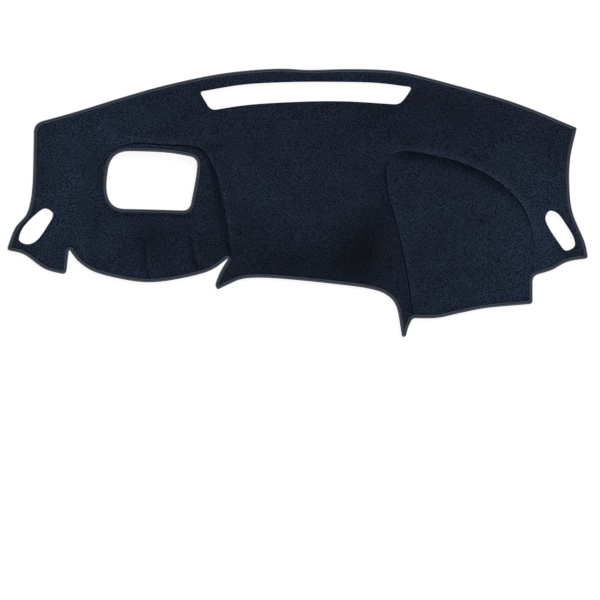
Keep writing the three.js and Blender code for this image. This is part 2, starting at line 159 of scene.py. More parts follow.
# The seams, as x, y, how far the turned-down edges raise the cloth, and how far out the main panel
# slopes away. Both run clockwise round their panel and out past the mat's edge.
DRIVER_SEAM = [
    (-546, -150, 3, 24), (-551, -113, 3, 24), (-528, -26, 3, 24), (-493, 54, 3, 24),
    (-462, 113, 3.5, 20), (-404, 139, 5, 18), (-322, 137, 6, 18), (-254, 133, 6, 18),
    (-230, 124, 7, 18), (-201, 77, 9, 24), (-184, 13, 9, 24), (-170, -67, 9, 24),
    (-166, -132, 9, 24), (-189, -160, 9, 24),
]
PASSENGER_SEAM = [
    (285, -302, 7, 80), (278, -278, 7, 80), (265, -183, 7, 80), (240, -65, 8, 80), (217, 24, 8, 60),
    (212, 74, 8, 34), (219, 99, 8.5, 24), (236, 116, 9, 22), (261, 121, 9, 22), (345, 107, 9, 24),
    (423, 82, 9, 24), (488, 44, 8, 24), (541, -10, 6, 24), (567, -82, 3, 24), (569, -171, 2, 24),
    (577, -190, 2, 24),
]

# Painted light and shade in broad patches, standing in for the shading of the mat's gentle slopes that the
# relief
# leaves out: the middle, how far it reaches each way, and how much lighter it is painted there, or darker if
# below nought
PAINTED_LIGHT_AND_SHADE = [
    ((155, -120), (65, 95), -0.5), ((190, -55), (60, 70), -0.22), ((0, -146), (190, 55), -0.44),
    ((-54, -79), (110, 35), -0.1), ((-208, 0), (40, 130), -0.27), ((-259, 131), (60, 9), -0.35),
    ((-356, -92), (60, 55), -0.4), ((-500, 55), (120, 190), 0.22), ((-610, -60), (80, 130), 0.2),
    ((-480, 215), (90, 60), 0.26), ((325, 215), (190, 65), -0.24), ((212, 259), (70, 40), -0.18),
    ((157, 193), (45, 50), -0.14), ((538, -95), (150, 150), 0.2), ((620, -80), (80, 150), 0.24),
    ((560, -30), (60, 110), 0.12), ((415, -240), (110, 40), 0.22),
]

# How each seam's line is closed in front of the mat, to tell its panel from the rest
DRIVER_CLOSE = [(-212, -190), (-212, -260), (-535, -260), (-535, -190)]
PASSENGER_CLOSE = [(590, -300), (285, -320)]

# The darts, from their points to the front edge
LEFT_DART = [(-376, -62), (-366, -115), (-360, -198)]
RIGHT_DART = [(-268, -32), (-256, -86), (-238, -182)]


def smooth_line(knots, step, closed=False):
    """Points a step apart on the smooth curve through the knots. Columns past x and y go with them."""
    knots = np.array(knots, float)
    count = len(knots)
    if closed:
        held = knots[np.arange(-1, count + 2) % count]
    else:
        held = np.vstack([2 * knots[0] - knots[1], knots, 2 * knots[-1] - knots[-2]])
    points = []
    for p0, p1, p2, p3 in zip(held, held[1:], held[2:], held[3:]):
        gaps = [max(np.hypot(*(q - p)[:2]), 1e-6) ** 0.5 for p, q in ((p0, p1), (p1, p2), (p2, p3))]
        out = (p1 - p0) / gaps[0] - (p2 - p0) / (gaps[0] + gaps[1]) + (p2 - p1) / gaps[1]
        into = (p2 - p1) / gaps[1] - (p3 - p1) / (gaps[1] + gaps[2]) + (p3 - p2) / gaps[2]
        out, into = out * gaps[1], into * gaps[1]
        share = np.linspace(0, 1, max(2, math.ceil(gaps[1] ** 2 / step)) + 1)[:-1, None]
        points.append(
            p1 + out * share + (3 * (p2 - p1) - 2 * out - into) * share**2
            + (2 * (p1 - p2) + out + into) * share**3
        )
    points = np.vstack(points)
    return points if closed else np.vstack([points, knots[-1:]])


def eased_loop(stretches, step, facets=7):
    """A closed outline from its stretches, each corner rounded by a short curve."""
    corners = [np.array(through[-1], float) for through, _ in stretches]
    lines = []
    for i, (through, ease) in enumerate(stretches):
        line = smooth_line([corners[i - 1], *through], step)
        fine = smooth_line([corners[i - 1], *through], 0.5)
        from_start = np.hypot(*(fine - corners[i - 1]).T)
        from_end = np.hypot(*(fine - corners[i]).T)
        before = stretches[i - 1][1]
        first = fine[np.argmax(from_start >= before)]
        last = fine[len(fine) - 1 - np.argmax(from_end[::-1] >= ease)]
        kept = (np.hypot(*(line - corners[i - 1]).T) > before + step / 3) & (
            np.hypot(*(line - corners[i]).T) > ease + step / 3
        )
        lines.append(np.vstack([first, line[kept], last]))
    loop = []
    for i, line in enumerate(lines):
        share = np.linspace(0, 1, facets + 1)[1:-1, None]
        start, end = line[-1], lines[(i + 1) % len(lines)][0]
        bend = (1 - share) ** 2 * start + 2 * share * (1 - share) * corners[i] + share**2 * end
        loop += [line, bend]
    return np.vstack(loop)


def nearest_on(points, line, closed=False):
    """For each point: its distance from the line, the nearest segment, the share of the way along that
    and the way from the nearest place to the point."""
    starts = line[:, :2] if closed else line[:-1, :2]
    spans = (np.roll(line[:, :2], -1, axis=0) if closed else line[1:, :2]) - starts
    squares = np.maximum((spans**2).sum(1), 1e-12)
    found = []
    for some in np.array_split(points[:, :2], max(1, len(points) * len(starts) // 1500000)):
        away = some[:, None] - starts[None]
        share = np.clip((away * spans).sum(2) / squares, 0, 1)
        away = away - share[..., None] * spans
        far = (away**2).sum(2)
        at = far.argmin(1)
        row = np.arange(len(some))
        found.append((np.sqrt(far[row, at]), at, share[row, at], away[row, at]))
    return [np.concatenate(part) for part in zip(*found)]


def inside(points, loop):
    """Which points are inside a closed outline."""
    odd = np.zeros(len(points), bool)
    for a, b in zip(loop, np.roll(loop, -1, axis=0)):
        spans = (a[1] > points[:, 1]) != (b[1] > points[:, 1])
        if a[1] != b[1]:
            reach = a[0] + (b[0] - a[0]) * (points[:, 1] - a[1]) / (b[1] - a[1])
            odd ^= spans & (points[:, 0] < reach)
    return odd


def left_normals(line, closed=False):
    """The unit way to the left of a line at each of its points."""
    if closed:
        along = np.roll(line[:, :2], -1, axis=0) - np.roll(line[:, :2], 1, axis=0)
    else:
        along = np.gradient(line[:, :2], axis=0)
    along = along / np.linalg.norm(along, axis=1)[:, None]
    return np.stack([-along[:, 1], along[:, 0]], 1)


def free_reach(line, ways, most, closed=True):
    """How far each point of a line can move its way before another stretch of the line is nearer."""
    reach = np.full(len(line), float(most))
    for distance in np.arange(most, 0.4, -0.5):
        moved = line[:, :2] + ways * distance
        blocked = nearest_on(moved, line, closed)[0] < 0.96 * distance - 0.1
        reach[blocked] = distance - 0.5
    return reach


def smoothstep(value, low, high):
    share = np.clip((value - low) / (high - low), 0, 1)
    return share * share * (3 - 2 * share)


outline = eased_loop(OUTER_EDGE, EDGE_STEP)
middle = (outline.min(0) + outline.max(0)) / 2
outline = outline - middle
window_loop = eased_loop(WINDOW_EDGE, EDGE_STEP) - middle
slot_loops = [eased_loop(DEFROSTER_SLOT, EDGE_STEP) - middle]
slot_loops += [smooth_line(vent, EDGE_STEP, closed=True) - middle for vent in (LEFT_VENT, RIGHT_VENT)]
moved = np.array([*middle, 0, 0])
driver_seam = smooth_line(DRIVER_SEAM, EDGE_STEP) - moved
passenger_seam = smooth_line(PASSENGER_SEAM, EDGE_STEP) - moved
darts = [smooth_line(dart, EDGE_STEP) - middle for dart in (LEFT_DART, RIGHT_DART)]
driver_area = np.vstack([driver_seam[:, :2], np.array(DRIVER_CLOSE) - middle])
passenger_area = np.vstack([passenger_seam[:, :2], np.array(PASSENGER_CLOSE) - middle])


def ridge(lift, distance, spread):
    """A round-topped ridge's height at a distance from its crest."""
    return lift / 2 * (1 + np.cos(np.pi * np.minimum(1, distance / spread)))


def crest(lift, distance, spread):
    """The height beside a seam, where the cloth falls away at once from the turned-down edges."""
    return lift * (1 - np.minimum(1, distance / spread)) ** CREST_SHAPE


def blended_max(a, b, blend=1.2):
    return (a + b + np.hypot(a - b, blend) - blend) / 2


def seam_height(points, seam, inner_spread):
    """The height that a seam gives the cloth's underside, the way from the seam and the seam's lift."""
    distance, at, share, away = nearest_on(points, seam)
    a, b = seam[at], seam[at + 1]
    outside = (b[:, 0] - a[:, 0]) * away[:, 1] - (b[:, 1] - a[:, 1]) * away[:, 0] > 0
    lift = a[:, 2] + (b[:, 2] - a[:, 2]) * share
    spread = np.where(outside, a[:, 3] + (b[:, 3] - a[:, 3]) * share, inner_spread)
    return crest(lift, distance, spread), away, lift


def creased(distance, away, width, drop):
    """How far the pile falls into a sewn crease. The nap leans over the crease from one side, which falls
    in more gently than the other."""
    width = np.where(away @ np.array(LEAN) > 0, width, CREASE_STEEP)
    return drop * np.clip(1 - distance / width, 0, 1) ** CREASE_SHAPE


def dart_height(points, dart):
    """The height that a dart gives the underside, the way from the dart and its share of full depth."""
    distance, at, share, away = nearest_on(points, dart)
    depth = np.minimum(1, DART_DEEPENS * (at + share) / (len(dart) - 1))
    return crest(DART_LIFT * depth, distance, DART_SPREAD), away, depth


# One flat net of triangles takes in every edge and seam, with rows of points close beside them
hems = []
for loop, side in ((outline, 1), (window_loop, -1)):
    ways = left_normals(loop, True) * side
    hems.append((loop, ways, free_reach(loop, ways, HEM_REACH)))
net = []
lines = []


def add_line(points, closed):
    first = sum(len(part) for part in net)
    net.append(points[:, :2])
    ids = np.arange(first, first + len(points))
    lines.extend(zip(ids[:-1].tolist(), ids[1:].tolist()))
    if closed:
        lines.append((int(ids[-1]), int(ids[0])))


for loop, ways, reach in hems:
    add_line(loop + ways * np.minimum(reach, UNDER_TAPE[0])[:, None], True)
    for distance in HEM_ROWS:
        free = reach > distance + ROW_ROOM
        net.append(loop[free] + ways[free] * distance)
for loop in slot_loops:
    add_line(loop, True)
    for distance in CUT_ROWS:
        net.append(loop - left_normals(loop, True) * distance)
sewn_lines = [(driver_seam, SEAM_ROWS, SEAM_CLEAR), (passenger_seam, SEAM_ROWS, SEAM_CLEAR)]
sewn_lines += [(dart, DART_ROWS, DART_CLEAR) for dart in darts]
for line, rows, _ in sewn_lines:
    add_line(line, False)
    ways = left_normals(line)
    for side in (-1, 1):
        for distance in rows:
            row = line[:, :2] + side * distance * ways
            net.append(row[nearest_on(row, line)[0] > 0.95 * distance])

low, high = outline.min(0), outline.max(0)
across = np.arange(low[0], high[0], PILE_STEP)
rows = np.arange(low[1], high[1], PILE_STEP * math.sqrt(0.75))
grid = np.array([(x + (k % 2) * PILE_STEP / 2, y) for k, y in enumerate(rows) for x in across])
grid = grid[inside(grid, outline)]
clear = nearest_on(grid, outline, True)[0] > HEM_CLEAR
clear &= nearest_on(grid, window_loop, True)[0] > HEM_CLEAR
for loop in slot_loops:
    clear &= nearest_on(grid, loop, True)[0] > CUT_CLEAR
for line, _, room in sewn_lines:
    clear &= nearest_on(grid, line)[0] > room
net.append(grid[clear])
flat, _, triangles, *_ = delaunay_2d_cdt(np.vstack(net).tolist(), lines, [], 0, 1e-4)
flat = np.array([tuple(p) for p in flat])
triangles = np.array(triangles)
corner = flat[triangles]
turn = np.cross(corner[:, 1] - corner[:, 0], corner[:, 2] - corner[:, 0])
triangles = triangles[np.abs(turn) > 1e-4]
centres = flat[triangles].mean(1)
hem_line = outline + hems[0][1] * np.minimum(hems[0][2], UNDER_TAPE[0])[:, None]
window_line = window_loop + hems[1][1] * UNDER_TAPE[0]
cloth = inside(centres, hem_line) & ~inside(centres, window_line)
for loop in slot_loops:
    cloth &= ~inside(centres, loop)
triangles, centres = triangles[cloth], centres[cloth]
in_driver = inside(centres, driver_area)
in_passenger = inside(centres, passenger_area)

# The heights of the pile side and of the backing, from what raises the cloth
edge = nearest_on(flat, outline, True)[0]
opening, _, _, off_window = nearest_on(flat, window_loop, True)
frontward = np.maximum(0, -off_window[:, 1] / np.maximum(opening, 1e-6))
slope = WINDOW_SIDE_SLOPE + (WINDOW_FRONT_SLOPE - WINDOW_SIDE_SLOPE) * frontward
raised = ridge(WINDOW_LIFT, np.maximum(0, opening - WINDOW_RIM), slope)
driver_ridge, driver_away, driver_lift = seam_height(flat, driver_seam, DRIVER_SPREAD)
passenger_ridge, passenger_away, passenger_lift = seam_height(flat, passenger_seam, PASSENGER_SPREAD)
raised = blended_max(blended_max(raised, driver_ridge), passenger_ridge)
pinch = np.zeros(len(flat))
for dart in darts:
    height, away, depth = dart_height(flat, dart)
    raised = blended_max(raised, height)
    pinch = np.maximum(pinch, creased(np.hypot(*away.T), away, DART_WIDTH, DART_DROP * depth))
levelled = 1 - smoothstep(opening, WINDOW_RIM, WINDOW_RIM + WINDOW_RIM_BLEND)
raised = smoothstep(edge, FLAT_BORDER, FLAT_BORDER + RELIEF_RAMP) * (
    raised + (WINDOW_LIFT - raised) * levelled
)

driver_nearer = np.hypot(*driver_away.T) < np.hypot(*passenger_away.T)
seam_away = np.where(driver_nearer[:, None], driver_away, passenger_away)
from_seam = np.hypot(*seam_away.T)
seam_lift = np.where(driver_nearer, driver_lift, passenger_lift)
crease = SEAM_DROP * np.clip(seam_lift / DEEP_FROM, SHALLOWEST, 1)
crease = np.minimum(crease, FLAT_DROP + DROP_BY_HEIGHT * raised)
from_cut = np.min([nearest_on(flat, loop, True)[0] for loop in slot_loops], axis=0)


def rolled(distance, width, drop):
    """How far the pile rounds down towards an edge."""
    near = np.clip(1 - distance / width, 0, 1)
    return drop * (1 - np.sqrt(1 - near**2))


# The pile isn't quite level: soft swells of a hand's breadth, and tufts that stand a little unevenly
chance = np.random.default_rng(7)
swell = np.zeros(len(flat))
for wavelength in SWELLS:
    turn = chance.uniform(0, 2 * np.pi)
    way = np.array([math.cos(turn), math.sin(turn)])
    swell += np.sin(flat @ way * 2 * np.pi / wavelength + chance.uniform(0, 2 * np.pi))
uneven = PILE_UNEVEN * swell / 3 + chance.uniform(-TUFT_UNEVEN, TUFT_UNEVEN, len(flat))
pile = raised + CLOTH + uneven
pile -= creased(from_seam, seam_away, CREASE_WIDTH, crease) + rolled(from_cut, CUT_ROLL, CUT_DROP) + pinch
from_hem = np.minimum(edge, opening)
freed = np.clip((from_hem - TAPE_REACH - TAPE_ROOM) / FREED_OVER, 0, 1)
squeezed = raised + UNDER_TAPE[1] - GROOVE * np.exp(-((from_hem - STITCH_LINE) ** 2))
pile = squeezed + (pile - squeezed) * np.sqrt(1 - (1 - freed) ** 2)
backing = raised * smoothstep(from_seam, ALLOWANCE - ALLOWANCE_BLEND, ALLOWANCE + ALLOWANCE_BLEND)
backing += UNDER_TAPE[0] * (1 - smoothstep(from_hem, TAPE_REACH, TAPE_REACH + LET_DOWN_OVER))

# Painted light and shade: a factor on the pile's colour at each point of the net, from the broad patches
# above
patch_light_and_shade = np.ones(len(flat))
for centre, reach, lighter in PAINTED_LIGHT_AND_SHADE:
    patch_light_and_shade += lighter * np.exp(-(((flat - centre) / reach) ** 2).sum(1))


def cloth_panel(name, mine, seam_side):
    """A closed sheet over its triangles: pile side, backing and the edge between them. At a seam it
    keeps half the gap from its neighbour."""
    used, local = np.unique(triangles[mine], return_inverse=True)
    local = local.reshape(-1, 3)
    place = flat[used].copy()
    for seam in (driver_seam, passenger_seam):
        distance, at, _, _ = nearest_on(place, seam)
        on_line = distance < 0.01
        place[on_line] += seam_side * left_normals(seam)[at[on_line]] * SEAM_GAP / 2
    vertices = np.vstack([np.column_stack([place, pile[used]]), np.column_stack([place, backing[used]])])
    ways = np.vstack([local[:, [0, 1]], local[:, [1, 2]], local[:, [2, 0]]])
    keys = ways[:, 0] * len(used) + ways[:, 1]
    rim = ways[~np.isin(keys, ways[:, 1] * len(used) + ways[:, 0])]
    wall = np.column_stack([rim[:, 0], rim[:, 0] + len(used), rim[:, 1] + len(used), rim[:, 1]])
    faces = local.tolist() + (local[:, ::-1] + len(used)).tolist() + wall.tolist()
    piece = piece_of(name, vertices, faces)
    layer = piece.data.attributes.new("patch_light_and_shade", "FLOAT", "POINT")
    layer.data.foreach_set("value", np.tile(patch_light_and_shade[used], 2))
    return piece


def piece_of(name, vertices, faces, crease=50):
    """An object from points in millimetres, shaded smooth except over sharp edges."""
    mesh = bpy.data.meshes.new(name)
    mesh.from_pydata((vertices * MM).tolist(), [], faces)
    mesh.update()
    mesh.shade_smooth()
    mesh.set_sharp_from_angle(angle=math.radians(crease))
    piece = bpy.data.objects.new(name, mesh)
    bpy.context.scene.collection.objects.link(piece)
    return piece


class Nodes:
    """Adds nodes to a material's or a group's tree and links them up."""

    def __init__(self, tree):
        self.tree = tree

    def add(self, kind, inputs=(), **settings):
        node = self.tree.nodes.new(kind)
        for key, value in settings.items():
            setattr(node, key, value)
        for key, value in dict(inputs).items():
            if isinstance(value, bpy.types.NodeSocket):
                self.tree.links.new(value, node.inputs[key])
            else:
                node.inputs[key].default_value = value
        return node

    def math(self, operation, *values, clamp=False):
        inputs = dict(enumerate(values))
        return self.add("ShaderNodeMath", inputs, operation=operation, use_clamp=clamp).outputs[0]


def node_group(name, inputs, outputs):
    """A shader node group with named sockets: its Nodes, its inputs' sockets and its output node."""
    group = bpy.data.node_groups.new(name, "ShaderNodeTree")
    for socket, kind, value in inputs:
        made = group.interface.new_socket(socket, in_out="INPUT", socket_type=kind)
        if value is not None:
            made.default_value = value
    for socket, kind in outputs:
        group.interface.new_socket(socket, in_out="OUTPUT", socket_type=kind)
    nodes = Nodes(group)
    return group, nodes, nodes.add("NodeGroupInput").outputs, nodes.add("NodeGroupOutput")


# Pile grain: clumps of tufts, single fibres and broad patches where the nap lies another way
grain, n, given, out = node_group(
    "pile grain",
    [("Vector", "NodeSocketVector", None), ("Tufts per Metre", "NodeSocketFloat", 355.0),
     ("Fibres per Metre", "NodeSocketFloat", 1300.0), ("Patches per Metre", "NodeSocketFloat", 11.0)],
    [("Shade", "NodeSocketFloat"), ("Patch", "NodeSocketFloat"), ("Height", "NodeSocketFloat")],
)
tufts = n.add("ShaderNodeTexNoise", {"Vector": given["Vector"], "Scale": given["Tufts per Metre"],
                                     "Detail": 2.0, "Roughness": 0.65}).outputs["Fac"]
fibres = n.add("ShaderNodeTexNoise", {"Vector": given["Vector"], "Scale": given["Fibres per Metre"],
                                      "Detail": 2.0, "Roughness": 0.6}).outputs["Fac"]
patches = n.add("ShaderNodeTexNoise", {"Vector": given["Vector"], "Scale": given["Patches per Metre"],
                                       "Detail": 4.0, "Roughness": 0.66, "Distortion": 0.6}).outputs["Fac"]
height = n.math("ADD", n.math("MULTIPLY", tufts, 0.66), n.math("MULTIPLY", fibres, 0.34))
shade = n.add("ShaderNodeMapRange", {"Value": height, "From Min": 0.448, "From Max": 0.552})
patch = n.add("ShaderNodeMapRange", {"Value": patches, "From Min": 0.32, "From Max": 0.68})
n.tree.links.new(shade.outputs[0], out.inputs["Shade"])
n.tree.links.new(patch.outputs[0], out.inputs["Patch"])
n.tree.links.new(height, out.inputs["Height"])


def finish_tree(name):
    """A new material's Nodes and its Principled BSDF."""
    material = bpy.data.materials.new(name)
    material.use_nodes = True
    return material, Nodes(material.node_tree), material.node_tree.nodes["Principled BSDF"]


plush, n, shader = finish_tree("navy cut pile")
place = n.add("ShaderNodeTexCoord").outputs["Object"]
pile_grain = n.add("ShaderNodeGroup", node_tree=grain)
n.tree.links.new(place, pile_grain.inputs["Vector"])
colours = n.add("ShaderNodeValToRGB", {"Fac": pile_grain.outputs["Shade"]})
colours.color_ramp.elements[0].color = (0.0000, 0.0008, 0.0066, 1)
colours.color_ramp.elements[1].color = (0.0162, 0.0270, 0.0480, 1)
lay = n.add("ShaderNodeMapRange", {"Value": pile_grain.outputs["Patch"], "To Min": 0.82, "To Max": 1.18})
# The painted light and shade of the broad patches, carried on the mesh, scales the pile's colour
painted_patch_factor = n.add("ShaderNodeAttribute", attribute_name="patch_light_and_shade").outputs["Fac"]
lit = n.add("ShaderNodeVectorMath", {0: colours.outputs["Color"]}, operation="SCALE")
n.tree.links.new(n.math("MULTIPLY", lay.outputs[0], painted_patch_factor), lit.inputs["Scale"])
n.tree.links.new(lit.outputs[0], shader.inputs["Base Color"])
bump = n.add("ShaderNodeBump", {"Height": pile_grain.outputs["Height"], "Strength": 1.0, "Distance": 0.0022})
n.tree.links.new(bump.outputs[0], shader.inputs["Normal"])
shader.inputs["Roughness"].default_value = 0.95
shader.inputs["Specular IOR Level"].default_value = 0.12
shader.inputs["Sheen Weight"].default_value = 0.04
shader.inputs["Sheen Roughness"].default_value = 0.45
shader.inputs["Sheen Tint"].default_value = (0.62, 0.72, 1.0, 1)

main_panel = cloth_panel("main_panel_plush", ~in_driver & ~in_passenger, 1)
driver_panel = cloth_panel("driver_panel_plush", in_driver, -1)
passenger_panel = cloth_panel("passenger_panel_plush", in_passenger, -1)
for panel, node in ((main_panel, "main_panel"), (driver_panel, "driver_panel"),
                    (passenger_panel, "passenger_panel")):
    panel.data.materials.append(plush)
    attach(panel, "root")
    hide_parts(node)

# The two bindings, round the outer edge and round the window: one woven tape each, folded over the cut
# edge so that it squeezes the cloth, and lockstitched through near its inner edges.
TAPE = 0.8
TAPE_TOP = [(0, 2.8), (0.2, 3.6), (0.6, 4.35), (1.2, 4.85), (1.9, 5.08), (2.7, 4.95), (3.4, 4.35),
            (4.1, 3.95), (4.8, 4.3), (5.5, 4.68), (6.3, 4.78), (7.2, 4.68), (7.9, 4.52), (8.2, 4.36),
            (8.3, 4.2)]
TAPE_LINING = [8.3, 6.3, 5.0, 4.1, 3.2, 2.6]
TAPE_INSIDE = [(0.95, 3.5), (0.8, 2.5), (0.95, 1.5), (2.4, 0.8), (8.3, 0.8)]
TAPE_BACK = [(8.3, 0.0), (2.4, 0.0), (1.0, 0.4), (0.25, 1.25)]
# How light the tape is painted from its fold to its inner edge, over that width in metres: full brightness
# along the fold, painted shade in the stitches' groove, and a dimmer inner margin darkening to its edge,
# partly the pile's fibres lying over it and partly painted shade
TAPE_ACROSS = 0.0102
TAPE_PAINTED_SHADE = [(0, 1.0), (0.4, 1.0), (0.5, 0.14), (0.61, 0.14), (0.7, 0.62), (0.84, 0.56), (1, 0.2)]
TAPE_SECTION = TAPE_TOP + [(out, 4.2) for out in TAPE_LINING] + TAPE_INSIDE + TAPE_BACK


def folded_tape(name, hem, lift):
    """The tape swept along its edge. Where two stretches meet in a tight corner each stops halfway."""
    loop, ways, reach = hem
    top = np.array(TAPE_TOP)
    rings = []
    for k, (out, up) in enumerate(TAPE_SECTION):
        far = np.minimum(out, reach)
        level = np.full(len(loop), float(up))
        if k < len(TAPE_TOP + TAPE_LINING):
            level = np.interp(far, top[:, 0], top[:, 1]) - (TAPE if k >= len(TAPE_TOP) else 0)
        rings.append(np.column_stack([loop + ways * far[:, None], level + lift]))
    vertices = np.stack(rings, 1).reshape(-1, 3)
    around, sides = len(loop), len(TAPE_SECTION)
    i, k = np.meshgrid(np.arange(around), np.arange(sides), indexing="ij")
    at = (i * sides + k).ravel()
    up = (i * sides + (k + 1) % sides).ravel()
    on = ((i + 1) % around * sides + k).ravel()
    both = ((i + 1) % around * sides + (k + 1) % sides).ravel()
    return vertices, np.column_stack([at, up, both, on]), around, sides


def along_loop(points):
    """How far along a closed line each point is, and the whole length last."""
    steps = np.hypot(*(np.roll(points, -1, axis=0) - points).T)
    return np.concatenate([[0], np.cumsum(steps)])


def tape_piece(name, hem, lift, flip):
    vertices, faces, around, sides = folded_tape(name, hem, lift)
    if flip:
        faces = faces[:, ::-1]
    piece = piece_of(name, vertices, faces.tolist(), 60)
    length = along_loop(hem[0])
    widths = np.array(TAPE_SECTION)
    across = np.concatenate([[0], np.cumsum(np.hypot(*np.diff(widths, axis=0).T))])
    close = across[-1] + np.hypot(*(widths[0] - widths[-1]))
    lay = piece.data.uv_layers.new(name="tape")
    corners = np.zeros(len(piece.data.loops), int)
    piece.data.loops.foreach_get("vertex_index", corners)
    owner = np.repeat(np.arange(len(piece.data.polygons)), 4)
    i, k = corners // sides, corners % sides
    u = length[i]
    v = across[k]
    wraps = owner // sides == around - 1
    u = np.where(wraps & (i == 0), length[-1], u)
    v = np.where((owner % sides == sides - 1) & (k == 0), close, v)
    lay.data.foreach_set("uv", (np.column_stack([u, v]) * MM).ravel())
    return piece


# Twill weave: slanting ribs crossed by finer yarns, a little irregular
weave, n, given, out = node_group(
    "twill weave",
    [("Vector", "NodeSocketVector", None), ("Ribs per Metre", "NodeSocketFloat", 420.0),
     ("Slant", "NodeSocketFloat", 1.2)],
    [("Shade", "NodeSocketFloat"), ("Height", "NodeSocketFloat")],
)
parts = n.add("ShaderNodeSeparateXYZ", {0: given["Vector"]}).outputs
wander = n.add("ShaderNodeTexNoise", {"Vector": given["Vector"], "Scale": 260.0,
                                      "Detail": 1.0}).outputs["Fac"]
slanted = n.math("ADD", parts[0], n.math("MULTIPLY", parts[1], given["Slant"]))
turns = n.math("ADD", n.math("MULTIPLY", slanted, given["Ribs per Metre"]), n.math("MULTIPLY", wander, 0.9))
rib = n.math("SINE", n.math("MULTIPLY", turns, 2 * math.pi))
yarns = n.math("MULTIPLY", parts[1], n.math("MULTIPLY", given["Ribs per Metre"], 2.0))
yarn = n.math("SINE", n.math("MULTIPLY", yarns, 2 * math.pi))
weave_height = n.math("ADD", n.math("MULTIPLY", rib, 0.35), n.math("MULTIPLY", yarn, 0.15))
weave_height = n.math("ADD", weave_height, 0.5)
fuzz = n.add("ShaderNodeTexNoise", {"Vector": given["Vector"], "Scale": 900.0, "Detail": 2.0}).outputs["Fac"]
weave_shade = n.math("ADD", n.math("MULTIPLY", weave_height, 0.7), n.math("MULTIPLY", fuzz, 0.3), clamp=True)
n.tree.links.new(weave_shade, out.inputs["Shade"])
n.tree.links.new(weave_height, out.inputs["Height"])

tape_finish, n, shader = finish_tree("navy twill tape")
ribs = n.add("ShaderNodeGroup", node_tree=weave)
lie = n.add("ShaderNodeUVMap", uv_map="tape").outputs[0]
n.tree.links.new(lie, ribs.inputs["Vector"])
colours = n.add("ShaderNodeValToRGB", {"Fac": ribs.outputs["Shade"]})
colours.color_ramp.elements[0].color = (0.0170, 0.0240, 0.0400, 1)
colours.color_ramp.elements[1].color = (0.1050, 0.1320, 0.1850, 1)
across = n.add("ShaderNodeSeparateXYZ", {0: lie}).outputs[1]
# Painted shade across the tape, from its fold to its inner edge
tape_painted_shade = n.add("ShaderNodeValToRGB", {"Fac": n.math("DIVIDE", across, TAPE_ACROSS)})
stops = tape_painted_shade.color_ramp.elements
for share, light in TAPE_PAINTED_SHADE:
    stop = stops[-1] if share == 1 else stops[0] if share == 0 else stops.new(share)
    stop.color = (light, light, light, 1)
shaded = n.add("ShaderNodeMix", {6: colours.outputs["Color"], 7: tape_painted_shade.outputs["Color"], 0: 1.0},
               data_type="RGBA", blend_type="MULTIPLY")
n.tree.links.new(shaded.outputs[2], shader.inputs["Base Color"])
bump = n.add("ShaderNodeBump", {"Height": ribs.outputs["Height"], "Strength": 0.6, "Distance": 0.0004})
n.tree.links.new(bump.outputs[0], shader.inputs["Normal"])
shader.inputs["Roughness"].default_value = 0.72
shader.inputs["Specular IOR Level"].default_value = 0.3
shader.inputs["Sheen Weight"].default_value = 0.05
shader.inputs["Sheen Roughness"].default_value = 0.4

outer_binding = tape_piece("outer_edge_tape", hems[0], 0.0, False)
window_binding = tape_piece("window_edge_tape", hems[1], WINDOW_LIFT, True)
for binding, node in ((outer_binding, "outer_edge_binding"), (window_binding, "window_edge_binding")):
    binding.data.materials.append(tape_finish)
    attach(binding, "root")
    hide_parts(node)

# The stitching, all of twisted polyester thread: a row of short lockstitches along each binding, pulled
# down into the tape at both ends of a stitch, and a near-black thread at the foot of each seam's crease, as
# painted shade for the crease.
STITCH_PITCH = 4.0
STITCH_LENGTH = 3.1
STITCH_LEVEL = 4.12
STITCH_ROOM = 0.5
SEAM_STITCH = 3.2
SEAM_OVERLAP = 1.12
THREAD_RADIUS = 0.3
THREAD_SUNK = 0.5
STITCH_LIE = [(-0.5, 0.25, -0.42), (-0.38, 0.85, -0.08), (-0.14, 1.0, 0.1), (0.14, 1.0, 0.1),
              (0.38, 0.85, -0.08), (0.5, 0.25, -0.42)]
THREAD_SIDES = 6


def stitch_row(name, line, heights, pitch, length, held=None):
    """Stitches along an open line, each lying between two holes. Heights are the thread's middles."""
    run = np.concatenate([[0], np.cumsum(np.hypot(*np.diff(line, axis=0).T))])
    middles = np.arange(pitch / 2, run[-1] - pitch / 2, pitch)
    if held is not None:
        middles = middles[np.interp(middles, run, held.astype(float)) > 0.99]

    def spot(distance):
        return np.column_stack([np.interp(distance, run, line[:, axis]) for axis in (0, 1)])

    along = spot(middles + 0.5) - spot(middles - 0.5)
    along = along / np.maximum(np.linalg.norm(along, axis=1), 1e-6)[:, None]
    beside = np.column_stack([-along[:, 1], along[:, 0]])
    level = np.interp(middles, run, heights)
    rings = []
    for share, swell, sink in STITCH_LIE:
        for k in range(THREAD_SIDES):
            turn = 2 * math.pi * k / THREAD_SIDES
            side = THREAD_RADIUS * swell * math.cos(turn)
            rise = level + sink + THREAD_RADIUS * swell * math.sin(turn)
            rings.append(np.column_stack([spot(middles) + along * share * length + beside * side, rise]))
    vertices = np.stack(rings, 1).reshape(-1, 3)
    one = []
    for ring in range(len(STITCH_LIE) - 1):
        for k in range(THREAD_SIDES):
            a, b = ring * THREAD_SIDES + k, ring * THREAD_SIDES + (k + 1) % THREAD_SIDES
            one.append([a, a + THREAD_SIDES, b + THREAD_SIDES, b][::-1])
    last = (len(STITCH_LIE) - 1) * THREAD_SIDES
    caps = [list(range(THREAD_SIDES))[::-1], [last + k for k in range(THREAD_SIDES)]]
    size = len(STITCH_LIE) * THREAD_SIDES
    faces = [[v + s * size for v in face] for s in range(len(middles)) for face in one + caps]
    return piece_of(name, vertices, faces, 80)


